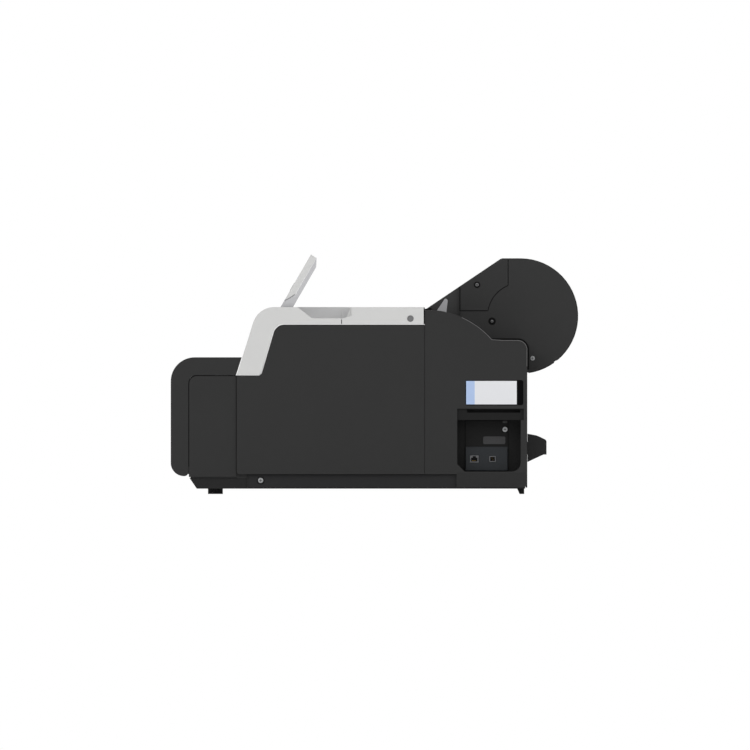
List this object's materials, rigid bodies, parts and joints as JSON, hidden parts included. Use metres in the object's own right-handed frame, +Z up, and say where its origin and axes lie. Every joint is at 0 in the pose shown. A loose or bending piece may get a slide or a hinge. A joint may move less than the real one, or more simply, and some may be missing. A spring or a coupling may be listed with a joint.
{
  "type": "desktop wide format plotter",
  "caption": "Desktop roll-fed inkjet plotter with ink bays beside the paper exit, a tilting touch panel, a sheet cassette and a hinged cover over the paper roll.",
  "frame": {"origin": "centre of the footprint, on the plane under the feet", "axes": "+X towards the side with the control panel and sockets, +Y to the back, +Z up"},
  "size_m": [0.99, 0.7659, 0.4502],
  "materials": {
    "case_dark": "fine-grained moulded plastic",
    "base_dark": "dark moulded plastic",
    "case_light": "smooth light grey plastic",
    "trim_grey": "mid grey plastic",
    "inner_black": "black moulded plastic",
    "rubber": "matt black rubber",
    "steel": "zinc-plated sheet steel",
    "alloy": "plain aluminium housing",
    "screen": "black glossy display",
    "window": "smoked clear plastic",
    "port_grey": "dark blue-grey plate",
    "board_green": "printed circuit board",
    "card": "brown wound card",
    "paper": "matt white paper"
  },
  "bodies": {
    "cabinet": {"base_pan": "base_dark", "feet": "rubber", "side_panel_right": "case_dark", "side_panel_left": "case_dark", "bay_housing_right": "case_dark", "bay_housing_left": "case_dark", "fascia_right": "case_light", "fascia_left": "case_light", "top_cap_right": "case_light", "top_cap_left": "case_light", "front_frame": "inner_black", "rear_housing_right": "case_dark", "rear_housing_left": "case_dark", "rear_cover": "case_dark", "roll_bed": "inner_black", "roll_cheek_right": "case_dark", "roll_cheek_left": "case_dark", "cheek_caps": "case_dark", "case_screws": "steel", "port_panel": "port_grey", "network_socket": "steel", "usb_socket": "steel", "power_inlet": "inner_black", "wall_spacers": "inner_black", "frame_plate_right": "steel", "frame_plate_left": "steel", "mid_deck": "steel", "carriage_rail": "steel", "carriage_motor": "inner_black", "drive_belt": "rubber", "platen": "inner_black", "roller_brackets": "steel", "capping_station": "inner_black", "ink_cartridges": "inner_black", "main_board": "board_green", "power_supply": "alloy", "spindle_cradles": "inner_black", "spindle_motor": "alloy", "output_tray": "inner_black"},
    "printer_cover": {"printer_cover": "case_light", "cover_window": "window"},
    "control_panel": {"panel_bezel": "case_light", "panel_back": "trim_grey", "touch_screen": "screen"},
    "power_button": {"power_button": "trim_grey"},
    "bay_door_right": {"bay_door_right": "case_dark"},
    "bay_door_left": {"bay_door_left": "case_dark"},
    "sheet_cassette": {"sheet_cassette": "case_dark"},
    "tray_extension": {"tray_extension": "case_dark"},
    "carriage": {"carriage": "inner_black"},
    "drive_pulley": {"drive_pulley": "trim_grey"},
    "idler_pulley": {"idler_pulley": "trim_grey"},
    "feed_roller": {"feed_roller": "alloy"},
    "pinch_rollers": {"pinch_rollers": "steel"},
    "roll_cover": {"roll_cover": "case_dark"},
    "paper_spindle": {"spindle": "trim_grey", "paper_core": "card", "paper_roll": "paper"},
    "motor_pinion": {"motor_pinion": "trim_grey"},
    "release_lever": {"release_lever": "trim_grey"}
  },
  "joints": [
    {"name": "printer_cover_hinge", "type": "hinge", "parent": "cabinet", "child": "printer_cover", "pos_m": [0, 0.0793, 0.3454], "axis": [-1, 0, 0], "range_deg": [0, 75]},
    {"name": "panel_tilt", "type": "hinge", "parent": "cabinet", "child": "control_panel", "pos_m": [0.374, -0.17, 0.3365], "axis": [1, 0, 0], "range_deg": [-53, 8]},
    {"name": "power_press", "type": "slide", "parent": "control_panel", "child": "power_button", "axis": [0, 0.866, -0.5], "range_m": [0, 0.001], "stiffness_N_per_m": 150},
    {"name": "bay_door_right_hinge", "type": "hinge", "parent": "cabinet", "child": "bay_door_right", "pos_m": [0.3705, -0.3576, 0.0415], "axis": [1, 0, 0], "range_deg": [0, 85]},
    {"name": "bay_door_left_hinge", "type": "hinge", "parent": "cabinet", "child": "bay_door_left", "pos_m": [-0.3705, -0.3576, 0.0415], "axis": [1, 0, 0], "range_deg": [0, 85]},
    {"name": "cassette_slide", "type": "slide", "parent": "cabinet", "child": "sheet_cassette", "axis": [0, -1, 0], "range_m": [0, 0.28]},
    {"name": "tray_extension_slide", "type": "slide", "parent": "cabinet", "child": "tray_extension", "axis": [0, -1, 0], "range_m": [0, 0.1]},
    {"name": "carriage_slide", "type": "slide", "parent": "cabinet", "child": "carriage", "axis": [1, 0, 0], "range_m": [-0.72, 0]},
    {"name": "drive_pulley_spin", "type": "hinge", "parent": "cabinet", "child": "drive_pulley", "pos_m": [0.4572, 0.0323, 0.23], "axis": [0, 1, 0], "continuous": true},
    {"name": "idler_pulley_spin", "type": "hinge", "parent": "cabinet", "child": "idler_pulley", "pos_m": [-0.4572, 0.0323, 0.23], "axis": [0, 1, 0], "continuous": true},
    {"name": "feed_roller_spin", "type": "hinge", "parent": "cabinet", "child": "feed_roller", "pos_m": [0, 0.0483, 0.1553], "axis": [1, 0, 0], "continuous": true},
    {"name": "pinch_roller_spin", "type": "hinge", "parent": "cabinet", "child": "pinch_rollers", "pos_m": [0, 0.0483, 0.1726], "axis": [1, 0, 0], "continuous": true},
    {"name": "roll_cover_hinge", "type": "hinge", "parent": "cabinet", "child": "roll_cover", "pos_m": [0, 0.33974, 0.25685], "axis": [-1, 0, 0], "range_deg": [0, 75]},
    {"name": "paper_spindle_spin", "type": "hinge", "parent": "cabinet", "child": "paper_spindle", "pos_m": [0, 0.2745, 0.3346], "axis": [1, 0, 0], "continuous": true},
    {"name": "motor_pinion_spin", "type": "hinge", "parent": "cabinet", "child": "motor_pinion", "pos_m": [-0.31, 0.2544, 0.27137], "axis": [1, 0, 0], "continuous": true},
    {"name": "release_lever_hinge", "type": "hinge", "parent": "cabinet", "child": "release_lever", "pos_m": [0.3565, 0.1303, 0.323], "axis": [1, 0, 0], "range_deg": [0, 25]}
  ],
  "couplings": [
    {"joint": "drive_pulley_spin", "follows": "carriage_slide", "rad_per_m": -100},
    {"joint": "idler_pulley_spin", "follows": "carriage_slide", "rad_per_m": -100},
    {"joint": "pinch_roller_spin", "follows": "feed_roller_spin", "ratio": -2.4},
    {"joint": "motor_pinion_spin", "follows": "paper_spindle_spin", "ratio": -2.6667}
  ]
}
